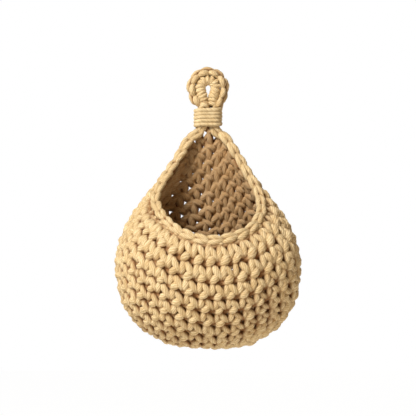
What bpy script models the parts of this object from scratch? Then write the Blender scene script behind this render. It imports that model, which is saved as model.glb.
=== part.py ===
# Hanging storage basket of thick crocheted cord.
# A round pocket with a drop-shaped mouth is drawn up to a neck, where a cord binds it
# under a hanging loop. Front faces -Y, the flat back lies against a wall at +Y, +Z is up.
# The origin is the place where a hook bears: the top of the loop's eye.

import math

import bmesh
import bpy
import numpy as np

# Pocket, outside sizes
POCKET_WIDTH = 0.156
POCKET_HEIGHT = 0.189
POCKET_DEPTH = 0.095
FABRIC = 0.0096
WALL_PRESS_share = 0.66
ROUNDS = 14
STITCHES = 36
FRONT_ROUNDNESS = 2.3
BACK_ROUNDNESS = 3.4

# Clearance between neighbouring pieces
GAP = 0.0003
EDGE_CLEARANCE = 0.0010

# Edge round of the mouth, which also makes the two straps of the neck
EDGE_CORD = 0.0088
EDGE_STITCHES = 34
STRAP_BEND_share = 1.3

# Binding round the neck
BINDING_CORD = 0.0026
BINDING_LAY = 0.00042
BINDING_TURNS = 5

# Hanging loop
EYE_WIDTH = 0.0056
EYE_HEIGHT = 0.0143
SLIT_HEIGHT = 0.0053
LOOP_CORE = 0.0078
LOOP_EDGE = 0.0066
LOOP_EDGE_STITCHES = 11
LOOP_CORE_WRAPS = 14

# Relief of the stitches, as shares of the fabric's half thickness
ROW_VALLEY_share = 0.74
STITCH_SIDE_share = 0.87
EDGE_WAIST_share = 0.90
WRAP_WAIST_share = 0.94

# Facets
ROUND_STEPS = 2
STITCH_STEPS = 2
EDGE_STEPS = 4
TURN_STEPS = 24
LOOP_STEPS = 12
MERIDIAN_STEPS = 140
BISECTION_STEPS = 30
FINE_STEPS = 16
TINY = 1e-12
RIM_STEPS = 4 * STITCHES * STITCH_STEPS

# Heights above the lowest point of the basket
BINDING_PITCH = BINDING_CORD + BINDING_LAY
BINDING_FOOT = POCKET_HEIGHT
BINDING_TOP = BINDING_FOOT + BINDING_TURNS * BINDING_PITCH + BINDING_CORD / 2
LOOP_FOOT = BINDING_TOP + GAP
EYE_TOP = LOOP_FOOT + SLIT_HEIGHT + EYE_HEIGHT

# Middle surface of the pocket's fabric, which the wall presses flat behind
WALL_Y = EDGE_CORD / 2 + GAP + BINDING_CORD
BACK_Y = WALL_Y - WALL_PRESS_share * FABRIC / 2
DEPTH = POCKET_DEPTH - FABRIC / 2 - WALL_PRESS_share * FABRIC / 2
HALF_WIDTH = (POCKET_WIDTH - FABRIC) / 2
HEART_shares = (0.0, 0.40, 0.42)

# Level sections of the fabric's middle surface: height as a share of its own height, half
# width as a share of its half width, then how far forward the front, the widest place and
# the back lie, as shares of its depth
SECTION_shares = (
    (0.000, 0.120, 0.575, 0.490, 0.405),
    (0.013, 0.360, 0.665, 0.490, 0.315),
    (0.048, 0.572, 0.765, 0.490, 0.205),
    (0.081, 0.719, 0.835, 0.490, 0.130),
    (0.115, 0.800, 0.885, 0.490, 0.080),
    (0.166, 0.892, 0.940, 0.490, 0.035),
    (0.233, 0.962, 0.988, 0.490, 0.005),
    (0.302, 0.987, 1.000, 0.490, 0.000),
    (0.376, 1.000, 0.995, 0.484, 0.000),
    (0.440, 0.973, 0.960, 0.465, 0.000),
    (0.512, 0.907, 0.870, 0.430, 0.000),
    (0.581, 0.814, 0.745, 0.380, 0.000),
    (0.653, 0.678, 0.600, 0.325, 0.000),
    (0.727, 0.531, 0.440, 0.268, 0.000),
    (0.801, 0.403, 0.325, 0.207, 0.000),
    (0.877, 0.292, 0.235, 0.146, 0.000),
    (0.949, 0.180, 0.160, 0.090, 0.000),
    (1.005, 0.118, 0.105, 0.053, 0.000),
    (1.141, 0.109, 0.094, 0.047, 0.000),
)

# The mouth's edge, clockwise from the neck: sideways as a share of the half width, forward
# as a share of the depth, height as a share of the pocket's height
MOUTH_shares = (
    (0.000, 0.050, 1.005), (0.123, 0.055, 0.989), (0.219, 0.088, 0.939), (0.314, 0.135, 0.878),
    (0.410, 0.199, 0.815), (0.496, 0.275, 0.759), (0.567, 0.360, 0.709), (0.608, 0.475, 0.656),
    (0.601, 0.610, 0.606), (0.526, 0.745, 0.553), (0.383, 0.850, 0.516), (0.219, 0.905, 0.495),
    (0.068, 0.930, 0.488), (-0.082, 0.925, 0.493), (-0.219, 0.890, 0.510),
    (-0.355, 0.820, 0.537), (-0.492, 0.690, 0.579), (-0.581, 0.550, 0.627),
    (-0.605, 0.440, 0.672), (-0.560, 0.345, 0.722), (-0.492, 0.267, 0.767),
    (-0.410, 0.199, 0.815), (-0.314, 0.137, 0.876), (-0.219, 0.088, 0.939),
    (-0.123, 0.055, 0.989),
)

# Guide rounds that the fabric is lofted through, from its first stitch to the mouth:
# (sideways, forward, height) shares, clockwise from the neck. The spiral starts low on
# the back, left of the middle, so its rounds slope down to the right behind.
START_shares = (-0.30, 0.01, 0.19)
LOW_ROUND = 7
LOW_ROUND_shares = (
    (0.05, 0.00, 0.560), (0.48, 0.00, 0.430), (0.90, 0.14, 0.350), (0.72, 0.70, 0.130),
    (0.08, 0.72, 0.027), (-0.60, 0.77, 0.105), (-0.96, 0.55, 0.330), (-0.66, 0.05, 0.620),
)
HIGH_ROUND = 11
HIGH_ROUND_shares = (
    (0.01, 0.00, 0.790), (0.42, 0.05, 0.680), (0.85, 0.40, 0.515), (0.71, 0.84, 0.330),
    (0.08, 0.99, 0.265), (-0.57, 0.90, 0.350), (-0.82, 0.56, 0.530), (-0.46, 0.09, 0.775),
)


def clear_scene():
    for item in list(bpy.data.objects):
        bpy.data.objects.remove(item, do_unlink=True)


def collection(name):
    group = bpy.data.collections.new(name)
    bpy.context.scene.collection.children.link(group)
    return group


def material(name, colour, roughness):
    new = bpy.data.materials.new(name)
    new.use_nodes = True
    shader = new.node_tree.nodes["Principled BSDF"]
    shader.inputs["Base Color"].default_value = (*colour, 1.0)
    shader.inputs["Roughness"].default_value = roughness
    shader.inputs["Metallic"].default_value = 0.0
    return new


def up(height):
    """Z of a height above the basket's lowest point."""
    return height - EYE_TOP


def smooth(stations, values, at):
    """A smooth curve through the values at the stations, read at any places."""
    stations, values, at = (np.asarray(a, float) for a in (stations, values, at))
    slopes = np.gradient(values, stations)
    i = np.clip(np.searchsorted(stations, at) - 1, 0, len(stations) - 2)
    span = stations[i + 1] - stations[i]
    t = (at - stations[i]) / span
    return (
        (2 * t**3 - 3 * t**2 + 1) * values[i]
        + (t**3 - 2 * t**2 + t) * span * slopes[i]
        + (3 * t**2 - 2 * t**3) * values[i + 1]
        + (t**3 - t**2) * span * slopes[i + 1]
    )


def smooth_ring(points, count):
    """A smooth closed curve through the points, evenly divided between them."""
    points = np.asarray(points, float)
    t = np.arange(count) / count * len(points)
    i = np.floor(t).astype(int)
    t = (t - i)[:, None]
    before, here, after, beyond = (points[(i + k) % len(points)] for k in (-1, 0, 1, 2))
    return (
        here
        + (after - before) / 2 * t
        + (before - 2.5 * here + 2 * after - beyond / 2) * t**2
        + (1.5 * (here - after) + (beyond - before) / 2) * t**3
    )


def even_ring(points, count):
    """Points at even lengths along a closed polyline."""
    closed = np.vstack([points, points[:1]])
    length = np.r_[0, np.cumsum(np.linalg.norm(np.diff(closed, axis=0), axis=1))]
    at = np.linspace(0, length[-1], count, endpoint=False)
    return np.stack([np.interp(at, length, closed[:, k]) for k in range(3)], axis=-1)


def section(height):
    """Half width, and y of the front, the widest place and the back, at each height."""
    table = np.array(SECTION_shares)
    heights = FABRIC / 2 + table[:, 0] * (POCKET_HEIGHT - FABRIC / 2)
    height = np.clip(height, heights[0], heights[-1])
    half = smooth(heights, table[:, 1] * HALF_WIDTH, height)
    front, middle, back = (
        smooth(heights, BACK_Y - table[:, k] * DEPTH, height) for k in (2, 3, 4)
    )
    return half, front, middle, back


def inside_pocket(points):
    x, y, height = points[..., 0], points[..., 1], points[..., 2]
    half, front, middle, back = section(height)
    reach = np.where(y < middle, middle - front, back - middle)
    roundness = np.where(y < middle, FRONT_ROUNDNESS, BACK_ROUNDNESS)
    sideways = np.abs(x / half) ** roundness
    forward = np.abs((y - middle) / reach) ** roundness
    level = (height > FABRIC / 2) & (height < BINDING_TOP)
    return (sideways + forward < 1) & level


def place(shares):
    """Points from (sideways, forward, height) shares."""
    points = np.asarray(shares, float) * np.array([HALF_WIDTH, -DEPTH, POCKET_HEIGHT])
    points[..., 1] += BACK_Y
    return points


def directions(points):
    away = points - place(HEART_shares)
    return away / np.linalg.norm(away, axis=-1, keepdims=True)


def on_pocket(ways):
    """Where lines from the pocket's heart meet its middle surface."""
    heart = place(HEART_shares)
    near = np.zeros(ways.shape[:-1])
    far = np.full(ways.shape[:-1], POCKET_WIDTH + POCKET_HEIGHT)
    for _ in range(BISECTION_STEPS):
        half_way = (near + far) / 2
        inner = inside_pocket(heart + half_way[..., None] * ways)
        near = np.where(inner, half_way, near)
        far = np.where(inner, far, half_way)
    return heart + near[..., None] * ways


def mouth_curve():
    """The mouth's edge, from the neck clockwise."""
    return even_ring(smooth_ring(place(MOUTH_shares), 4 * RIM_STEPS), RIM_STEPS)


def fabric_form():
    """Meridians of the fabric: [step from the first stitch to the mouth][place round it]."""
    rim = mouth_curve()
    start = np.repeat(directions(place(START_shares))[None], RIM_STEPS, axis=0)
    low = directions(smooth_ring(place(LOW_ROUND_shares), RIM_STEPS))
    high = directions(smooth_ring(place(HIGH_ROUND_shares), RIM_STEPS))
    ways = np.stack([start, low, high, directions(rim)])
    knots = np.array([0, LOW_ROUND, HIGH_ROUND, ROUNDS])
    at = np.linspace(0, ROUNDS, MERIDIAN_STEPS)
    lines = np.empty((MERIDIAN_STEPS, RIM_STEPS, 3))
    for column in range(RIM_STEPS):
        for axis in range(3):
            lines[:, column, axis] = smooth(knots, ways[:, column, axis], at)
    lines /= np.linalg.norm(lines, axis=-1, keepdims=True)
    form = on_pocket(lines)
    share = np.clip((at - HIGH_ROUND) / (ROUNDS - HIGH_ROUND), 0, 1) ** 2
    return form + share[:, None, None] * (rim - form[-1])


def room_to_edge(form):
    """Distance of the fabric, its middle and both its skins, from the edge round's line."""
    round_it = np.roll(form, -1, axis=1) - np.roll(form, 1, axis=1)
    normals = np.cross(np.gradient(form, axis=0), round_it)
    normals /= np.linalg.norm(normals, axis=-1, keepdims=True) + TINY
    edge = edge_line(RIM_STEPS)
    room = BINDING_FOOT - form[..., 2]
    for side in (-1, 0, 1):
        skin = form + side * ROW_VALLEY_share * FABRIC / 2 * normals
        apart = np.linalg.norm(skin[:, :, None] - edge[None, None], axis=-1)
        room = np.minimum(room, apart.min(axis=2))
    return room


def fabric_rings(form):
    """Rings of points that climb from the first stitch to just inside the edge cord.

    Each ring comes with its round, counted from the first stitch. Near the start the
    rings have fewer points, as the first rounds have fewer stitches."""
    columns = STITCHES * STITCH_STEPS
    form = form[:, :: RIM_STEPS // columns]
    spread = room_to_edge(form)
    clear = EDGE_CORD / 2 + EDGE_CLEARANCE
    steps = np.arange(MERIDIAN_STEPS)
    ends = []
    for column in range(columns):
        last = np.argmax(spread[:, column] < clear) - 1
        share = (spread[last, column] - clear) / (spread[last, column] - spread[last + 1, column])
        ends.append(last + share)
    count = ROUNDS * ROUND_STEPS
    rings = []
    for ring in range(1, count + 1):
        points = []
        for column in range(columns):
            at = ends[column] * ring / count
            points.append([np.interp(at, steps, form[:, column, axis]) for axis in range(3)])
        turn = ring / ROUND_STEPS
        skip = 4 if turn <= 1 else 2 if turn <= 3 else 1
        rings.append((np.array(points)[::skip], ring))
    return rings


def relief(ring, column, columns):
    """Share of the full thickness: rows part in valleys, stitches stand between them."""
    if ring % ROUND_STEPS == 0:
        return ROW_VALLEY_share
    if columns < STITCHES * STITCH_STEPS:
        return 1.0
    return 1.0 if column % STITCH_STEPS else STITCH_SIDE_share


def join_rings(mesh, inner, outer):
    """Faces between two rings, where the outer one has as many points or twice as many."""
    count = len(inner)
    for i in range(count):
        after = (i + 1) % count
        if len(outer) == count:
            mesh.faces.new((inner[i], outer[i], outer[after], inner[after]))
        else:
            middle = outer[2 * i + 1]
            mesh.faces.new((inner[i], outer[2 * i], middle))
            mesh.faces.new((inner[i], middle, inner[after]))
            mesh.faces.new((inner[after], middle, outer[(2 * i + 2) % len(outer)]))


def finish_object(name, mesh, group, look):
    thing = bpy.data.objects.new(name, mesh)
    thing.data.materials.append(look)
    group.objects.link(thing)
    thing.data.shade_smooth()
    return thing


def make_pocket(group, look, form):
    """The crocheted bowl: one fabric, closed below and open at the mouth."""
    mesh = bmesh.new()
    thickness = mesh.verts.layers.deform.verify()
    rings = []
    for points, ring in fabric_rings(form):
        made = []
        for column, (x, y, height) in enumerate(points):
            vertex = mesh.verts.new((x, y, up(height)))
            vertex[thickness][0] = relief(ring, column, len(points))
            made.append(vertex)
        rings.append(made)
    mesh.faces.new(rings[0])
    for inner, outer in zip(rings, rings[1:]):
        join_rings(mesh, inner, outer)
    bmesh.ops.recalc_face_normals(mesh, faces=mesh.faces)
    data = bpy.data.meshes.new("pocket")
    mesh.to_mesh(data)
    mesh.free()
    pocket = finish_object("pocket", data, group, look)
    pocket.vertex_groups.new(name="thickness")
    shell = pocket.modifiers.new("fabric", "SOLIDIFY")
    shell.thickness = FABRIC
    shell.offset = 0
    shell.vertex_group = "thickness"
    press_on_wall(pocket)
    return pocket


def press_on_wall(thing):
    """The soft back lies flat where it presses on the wall."""
    bpy.context.view_layer.update()
    graph = bpy.context.evaluated_depsgraph_get()
    pressed = bpy.data.meshes.new_from_object(thing.evaluated_get(graph))
    thing.modifiers.clear()
    thing.data = pressed
    for vertex in pressed.vertices:
        vertex.co.y = min(vertex.co.y, WALL_Y)
    pressed.shade_smooth()


def tube(name, points, diameters, group, look, resolution):
    """A cord along the points, with a diameter at each of them."""
    curve = bpy.data.curves.new(name, "CURVE")
    curve.dimensions = "3D"
    curve.bevel_depth = max(diameters) / 2
    curve.bevel_resolution = resolution
    curve.use_fill_caps = True
    line = curve.splines.new("POLY")
    line.points.add(len(points) - 1)
    for point, place_, diameter in zip(line.points, points, diameters):
        point.co = (*place_, 1.0)
        point.radius = diameter / max(diameters)
    thing = bpy.data.objects.new(name, curve)
    curve.materials.append(look)
    group.objects.link(thing)
    return thing


def smooth_line(points, count):
    """Evenly spaced points on a smooth open curve through the given points."""
    points = np.asarray(points, float)
    length = np.r_[0, np.cumsum(np.linalg.norm(np.diff(points, axis=0), axis=1))]
    fine = np.linspace(0, length[-1], FINE_STEPS * count)
    dense = np.stack([smooth(length, points[:, k], fine) for k in range(3)], axis=-1)
    length = np.r_[0, np.cumsum(np.linalg.norm(np.diff(dense, axis=0), axis=1))]
    at = np.linspace(0, length[-1], count)
    return np.stack([np.interp(at, length, dense[:, k]) for k in range(3)], axis=-1)


def beaded(count, points_each, diameter, waist_share):
    """Diameters along a cord that swells at every stitch and draws in between them."""
    phase = np.arange(count * points_each + 1) / points_each
    swell = np.sin(math.pi * phase) ** 2
    return diameter * (waist_share + (1 - waist_share) * swell)


def strap_x():
    """How far each strap stands from the neck's middle."""
    return (EDGE_CORD + GAP) / 2


def edge_line(count):
    """Middle line of the edge round, from the neck's top down, round and up again."""
    rim = mouth_curve()
    free = rim[rim[:, 2] < BINDING_FOOT - STRAP_BEND_share * EDGE_CORD]
    side = free[:: RIM_STEPS // (2 * EDGE_STITCHES)]
    neck = []
    for height in np.linspace(BINDING_TOP, BINDING_FOOT, BINDING_TURNS):
        neck.append((strap_x(), 0.0, height))
    left = [(-x, y, height) for x, y, height in reversed(neck)]
    return smooth_line([*neck, *side, *left], count)


def make_edging(group, look):
    """The edge round of the mouth. Its two ends run up side by side as the neck."""
    route = edge_line(EDGE_STITCHES * EDGE_STEPS + 1)
    route[:, 2] = up(route[:, 2])
    sizes = beaded(EDGE_STITCHES, EDGE_STEPS, EDGE_CORD, EDGE_WAIST_share)
    return tube("rim_edging", route, sizes, group, look, 2)


def binding_route():
    """The turns of the binding. Both ends lie straight across the back of the neck."""
    radius = EDGE_CORD / 2 + GAP + BINDING_CORD / 2
    foot = BINDING_FOOT + BINDING_CORD / 4
    route = []
    for step in range(BINDING_TURNS * TURN_STEPS):
        turn = (step + 0.5) / TURN_STEPS
        angle = 2 * math.pi * turn + math.pi / 2
        side = math.copysign(strap_x(), math.cos(angle))
        x = side + radius * math.cos(angle)
        y = radius * math.sin(angle)
        route.append((x, y, up(foot + BINDING_PITCH * turn)))
    start_x, start_y, start_z = route[0]
    end_x, end_y, end_z = route[-1]
    start = (start_x + BINDING_CORD, start_y, start_z)
    end = (end_x - BINDING_CORD, end_y, end_z)
    return [start, *route, end]


def least_gap(route, diameter, skip):
    """The least clear distance between stretches of a tube that lie apart along it."""
    points = np.array(route)
    apart = np.linalg.norm(points[:, None] - points[None], axis=-1)
    far = np.abs(np.subtract.outer(np.arange(len(points)), np.arange(len(points)))) > skip
    return apart[far].min() - diameter


def make_binding(group, look):
    route = binding_route()
    gap = least_gap(route, BINDING_CORD, TURN_STEPS // 2)
    print(f"neck_binding: least gap between its turns {gap * 1000:.2f} mm")
    return tube("neck_binding", route, [BINDING_CORD] * len(route), group, look, 1)


def loop_route(offset, count):
    """A line round the eye at a distance outside its edge, from foot to foot.

    The two feet stand side by side on the neck, so the eye narrows to a slit below."""
    crown = EYE_WIDTH / 2 + LOOP_CORE / 2
    foot = (LOOP_CORE + GAP) / 2
    crown_height = EYE_TOP - EYE_WIDTH / 2
    leg = crown_height - LOOP_FOOT - SLIT_HEIGHT
    right = []
    for step in range(LOOP_STEPS + 1):
        angle = math.pi / 2 * step / LOOP_STEPS
        right.append((crown * math.sin(angle), crown_height + crown * math.cos(angle)))
    for step in range(1, LOOP_STEPS + 1):
        share = step / LOOP_STEPS
        ease = (1 - math.cos(math.pi * share)) / 2
        right.append((crown + (foot - crown) * ease, crown_height - leg * share))
    right.append((foot, LOOP_FOOT))
    left = [(-x, height) for x, height in reversed(right[1:])]
    middle = smooth_line([(x, 0.0, up(height)) for x, height in left + right], FINE_STEPS * count)
    along = np.gradient(middle, axis=0)
    along /= np.linalg.norm(along, axis=1, keepdims=True)
    along[0] = (0, 0, 1)
    along[-1] = (0, 0, -1)
    outward = np.stack([-along[:, 2], along[:, 1], along[:, 0]], axis=-1)
    return smooth_line(middle + outward * (offset - LOOP_CORE / 2), count)


def make_loop_core(group, look):
    """The wrapped cord that the hook bears on."""
    route = loop_route(LOOP_CORE / 2, LOOP_CORE_WRAPS * EDGE_STEPS + 1)
    sizes = beaded(LOOP_CORE_WRAPS, EDGE_STEPS, LOOP_CORE, WRAP_WAIST_share)
    return tube("loop_core", route, sizes, group, look, 2)


def make_loop_edge(group, look):
    """The round of stitches along the outside of the core."""
    offset = LOOP_CORE + GAP + LOOP_EDGE / 2
    route = loop_route(offset, LOOP_EDGE_STITCHES * EDGE_STEPS + 1)
    sizes = beaded(LOOP_EDGE_STITCHES, EDGE_STEPS, LOOP_EDGE, EDGE_WAIST_share)
    return tube("loop_edging", route, sizes, group, look, 2)


def main():
    clear_scene()
    group = collection("hanging storage basket")
    cord = material("cotton cord", (0.66, 0.46, 0.25), 0.9)
    fine_cord = material("fine twisted cord", (0.70, 0.50, 0.28), 0.85)
    make_pocket(group, cord, fabric_form())
    make_edging(group, cord)
    make_binding(group, fine_cord)
    make_loop_core(group, cord)
    make_loop_edge(group, cord)


main()
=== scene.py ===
# Hanging storage basket, crocheted from soft cotton cord.
# Every stitch is one loop of cord, laid over the form of the fabric: fourteen rounds of
# single crochet, a chain along the mouth, a bound neck and a wrapped hanging loop. Behind,
# the mouth cuts across the rounds, so the last of them end early at its edge.

import math

import bpy
import numpy as np
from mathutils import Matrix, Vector
from mathutils.kdtree import KDTree


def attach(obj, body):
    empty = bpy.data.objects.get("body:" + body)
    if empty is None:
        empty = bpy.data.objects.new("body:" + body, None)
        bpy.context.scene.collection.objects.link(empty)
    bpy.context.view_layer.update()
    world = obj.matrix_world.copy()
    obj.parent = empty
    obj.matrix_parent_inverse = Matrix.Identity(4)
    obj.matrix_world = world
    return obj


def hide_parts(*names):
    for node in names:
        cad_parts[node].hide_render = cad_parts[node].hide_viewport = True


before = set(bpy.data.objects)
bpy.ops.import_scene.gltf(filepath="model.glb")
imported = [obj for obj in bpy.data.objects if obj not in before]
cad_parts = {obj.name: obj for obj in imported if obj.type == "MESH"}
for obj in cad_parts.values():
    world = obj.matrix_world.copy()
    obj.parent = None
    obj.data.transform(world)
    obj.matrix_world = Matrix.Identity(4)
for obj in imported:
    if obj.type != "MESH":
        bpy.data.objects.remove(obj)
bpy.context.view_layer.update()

MM = 0.001

# Lengths and places are in metres, unless a comment says otherwise. Heights are above the
# basket's lowest point. A share is a share of the size that its table or function names.

# The pocket, as the solids have it.
POCKET_WIDTH = 0.156
POCKET_HEIGHT = 0.189
POCKET_DEPTH = 0.095
FABRIC = 0.0096
WALL_PRESS_share = 0.66
ROUNDS = 14
FRONT_ROUNDNESS = 2.3
BACK_ROUNDNESS = 3.4

# The edge round, the binding and the loop, as the solids have them.
GAP = 0.0003
EDGE_CORD = 0.0088
STRAP_BEND_share = 1.3
BINDING_CORD = 0.0026
BINDING_LAY = 0.00042
BINDING_TURNS = 5
EYE_WIDTH = 0.0056
EYE_HEIGHT = 0.0143
SLIT_HEIGHT = 0.0053
LOOP_CORE = 0.0078
LOOP_EDGE = 0.0066

BINDING_PITCH = BINDING_CORD + BINDING_LAY
BINDING_FOOT = POCKET_HEIGHT
BINDING_TOP = BINDING_FOOT + BINDING_TURNS * BINDING_PITCH + BINDING_CORD / 2
LOOP_FOOT = BINDING_TOP + GAP
EYE_TOP = LOOP_FOOT + SLIT_HEIGHT + EYE_HEIGHT
WALL_Y = EDGE_CORD / 2 + GAP + BINDING_CORD
BACK_Y = WALL_Y - WALL_PRESS_share * FABRIC / 2
DEPTH = POCKET_DEPTH - FABRIC / 2 - WALL_PRESS_share * FABRIC / 2
HALF_WIDTH = (POCKET_WIDTH - FABRIC) / 2
FRONT = np.array((0.0, -1.0, 0.0))

# Points of the pocket are shares of its half width, depth and height. The heart is a place
# inside it from which every place of the fabric can be seen.
HEART_shares = (0.0, 0.40, 0.42)

# Level sections: height, half width, then how far forward the front, the widest place and
# the back lie.
SECTION_shares = (
    (0.000, 0.120, 0.575, 0.490, 0.405),
    (0.013, 0.360, 0.665, 0.490, 0.315),
    (0.048, 0.572, 0.765, 0.490, 0.205),
    (0.081, 0.719, 0.835, 0.490, 0.130),
    (0.115, 0.800, 0.885, 0.490, 0.080),
    (0.166, 0.892, 0.940, 0.490, 0.035),
    (0.233, 0.962, 0.988, 0.490, 0.005),
    (0.302, 0.987, 1.000, 0.490, 0.000),
    (0.376, 1.000, 0.995, 0.484, 0.000),
    (0.440, 0.973, 0.960, 0.465, 0.000),
    (0.512, 0.907, 0.870, 0.430, 0.000),
    (0.581, 0.814, 0.745, 0.380, 0.000),
    (0.653, 0.678, 0.600, 0.325, 0.000),
    (0.727, 0.531, 0.440, 0.268, 0.000),
    (0.801, 0.403, 0.325, 0.207, 0.000),
    (0.877, 0.292, 0.235, 0.146, 0.000),
    (0.949, 0.180, 0.160, 0.090, 0.000),
    (1.005, 0.118, 0.105, 0.053, 0.000),
    (1.141, 0.109, 0.094, 0.047, 0.000),
)

# The mouth's edge, from the neck clockwise, as seen from the front.
MOUTH_shares = (
    (0.000, 0.050, 1.005), (0.123, 0.055, 0.989), (0.219, 0.088, 0.939), (0.314, 0.135, 0.878),
    (0.410, 0.199, 0.815), (0.496, 0.275, 0.759), (0.567, 0.360, 0.709), (0.608, 0.475, 0.656),
    (0.601, 0.610, 0.606), (0.526, 0.745, 0.553), (0.383, 0.850, 0.516), (0.219, 0.905, 0.495),
    (0.068, 0.930, 0.488), (-0.082, 0.925, 0.493), (-0.219, 0.890, 0.510),
    (-0.355, 0.820, 0.537), (-0.492, 0.690, 0.579), (-0.581, 0.550, 0.627),
    (-0.605, 0.440, 0.672), (-0.560, 0.345, 0.722), (-0.492, 0.267, 0.767),
    (-0.410, 0.199, 0.815), (-0.314, 0.137, 0.876), (-0.219, 0.088, 0.939),
    (-0.123, 0.055, 0.989),
)

# Where the crochet starts, low on the back, and the courses of two rounds between it and
# the mouth, from the neck's side clockwise.
START_shares = (-0.30, 0.01, 0.19)
LOW_ROUND = 7
LOW_ROUND_shares = (
    (0.05, 0.00, 0.560), (0.48, 0.00, 0.430), (0.90, 0.14, 0.350), (0.72, 0.70, 0.130),
    (0.08, 0.72, 0.027), (-0.60, 0.77, 0.105), (-0.96, 0.55, 0.330), (-0.66, 0.05, 0.675),
)
HIGH_ROUND = 11
HIGH_ROUND_shares = (
    (0.01, 0.00, 0.790), (0.42, 0.05, 0.680), (0.85, 0.40, 0.515), (0.71, 0.84, 0.330),
    (0.08, 0.99, 0.265), (-0.57, 0.90, 0.350), (-0.82, 0.56, 0.530), (-0.46, 0.09, 0.775),
)

# How finely forms and paths are divided.
RIM_STEPS = 288
MERIDIAN_STEPS = 141
BISECTION_STEPS = 28
LOOP_STEPS = 12
TURN_STEPS = 24
FINE_STEPS = 16
EDGE_STITCHES = 34
CURVE_STEPS = 4
CHAIN_STEPS = 8

# The fabric on that form. It stops short of the edge round's middle by shares of the edge
# cord, less at the neck, where it also reaches up into the binding.
EVEN_share = 0.85
EDGE_TUCK_share = 0.42
NECK_TUCK_share = 0.06
NECK_OPEN = 0.184
NECK_INTO_BINDING = 0.002
PRESS_DEPTH = 0.0012

# One single crochet stitch, in millimetres: along the round, up it, out of the fabric, and
# how full the cord lies there. In front two legs lean together over the knob of the loop that
# the next stitch is drawn from. Behind, two legs make a V below a bar.
STITCH_WIDTH = 11.0
ROUND_HEIGHT = 14.0
CORD = 5.3
STITCH = (
    (-5.5, 10.2, -3.2, 0.95), (-3.2, 5.4, -4.4, 1.15), (-1.2, 1.2, -2.6, 0.85),
    (-0.7, 0.2, 0.6, 0.80), (-1.7, 2.4, 2.8, 1.00), (-3.6, 5.4, 3.7, 1.14),
    (-5.3, 8.3, 2.8, 1.00), (-5.4, 9.9, 0.4, 0.78), (-3.2, 10.5, -1.0, 0.82),
    (0.2, 10.7, -1.0, 0.82), (2.4, 10.2, 0.6, 0.80), (2.5, 8.4, 2.8, 1.00),
    (2.1, 5.2, 3.7, 1.11), (1.4, 2.2, 2.8, 0.95), (0.9, 0.2, 0.6, 0.80),
    (1.2, 1.0, -2.4, 0.85), (3.2, 5.2, -4.2, 1.15), (4.8, 9.7, -3.7, 1.02),
    (3.0, 12.2, -4.4, 1.15), (-1.4, 12.7, -4.0, 1.06), (-1.7, 12.5, -0.8, 0.78),
    (2.0, 11.3, 2.0, 0.92), (3.7, 12.7, 3.8, 1.24), (5.8, 14.7, 4.0, 1.32),
    (6.9, 16.9, 1.6, 0.94), (7.4, 14.6, -1.6, 0.80),
)
ROUND_STITCHES = (6, 12, 18, 24, 30, 36, 36, 36, 36, 36, 36, 36, 36, 36)
STITCH_RELIEF = 0.70
START_ROW = 0.1
FABRIC_SINK = 0.0007

# Each round's stitches stand a little aside of those below, by this share of a stitch.
STITCH_LEAN = -0.12

# Where the form draws stitches in or spreads them, the cord follows within these bounds. It
# slims towards the neck, from this height on.
LEAST_SIZE = 0.72
MOST_SIZE = 1.12
NECK_START = 0.165
NECK_SLIM_share = 0.32

# Work of a hand: the seed of its chances, how far a place of a stitch strays, with shares of
# that along the round, up it and out, and how much the cord's fullness varies.
SEED = 7
HAND = 0.00045
HAND_shares = (1, 0.8, 0.5)
FULL_HAND_share = 0.05

# The last round, below the edge, in millimetres: its legs reach up to the edge, and what is
# above them is folded down flat, so that it stays under it. What lies deeper stays behind.
LAST_TALL_share = 1.14
LAST_TOP = 10.5
LAST_DEEP = -2
KNOB_FROM = 12.6
UNDER_EDGE = 1.6
UNDER_EDGE_share = 0.5

# The round that meets the edge, at eight places from the neck clockwise. A round that ends
# early lies down thin behind the edge within a share of a round, and gets no painted hollow shade.
LAST_ROUNDS = (13.0, 12.8, 13.4, 14.0, 14.0, 14.0, 14.0, 9.9)
SHORT_ROUND = 0.2
END_ROWS = 0.5
END_THIN_share = 0.55
END_PROUD = 4.0

# Behind, about this share of a turn from the neck, the cord is pulled thinner, so that small
# holes show between the stitches.
OPEN_TURN = 0.06
OPEN_share = 0.08

# One chain stitch of an edge: shares of its length along, then across and out in
# millimetres, and how full the cord lies. Each V comes up through the one before it.
CHAIN_CORD = 4.3
CHAIN = (
    (0.00, 0.3, 0.2, 0.76), (0.30, 1.0, 1.6, 0.98), (0.65, 1.8, 2.2, 1.15),
    (0.98, 2.2, 1.6, 1.02), (1.22, 1.9, 0.0, 0.82), (1.32, 0.0, -1.0, 0.76),
    (1.22, -1.9, 0.0, 0.82), (0.98, -2.2, 1.6, 1.02), (0.65, -1.8, 2.2, 1.15),
    (0.30, -1.0, 1.6, 0.98), (0.00, -0.3, 0.2, 0.76), (0.25, -2.6, -1.8, 0.90),
    (0.70, -3.0, -2.0, 1.00),
)
# The loop's stitches, one leg ahead of the other.
LOOP_CHAIN = (
    (0.00, 0.6, -0.8, 0.66), (0.26, 1.6, 1.0, 0.98), (0.56, 2.0, 1.6, 1.18),
    (0.88, 1.7, 1.0, 1.02), (1.10, 1.0, -0.8, 0.72), (1.40, -0.6, -1.6, 0.76),
    (1.46, -1.8, -0.4, 0.86), (1.16, -2.1, 0.6, 0.98), (0.86, -2.1, 0.8, 1.02),
    (0.56, -1.9, 0.2, 0.94), (0.40, -0.8, -1.4, 0.80), (0.36, -0.2, -3.0, 1.00),
    (0.80, 0.2, -3.0, 1.00),
)
EDGE_CHAINS = 30
LOOP_CHAINS = 8
# How far the chains stray, across and out in millimetres, along in shares of a stitch, and
# in fullness. Then how far their cord counts as standing proud of its path, in millimetres,
# which keeps the painted hollow shade off it, and the least distance from the path that still
# gives a way out of it.
CHAIN_HAND = 0.22
CHAIN_ALONG_HAND_share = 0.03
CHAIN_FULL_HAND_share = 0.04
CHAIN_PROUD = 0.9
LEAST_REACH = 0.2

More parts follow.
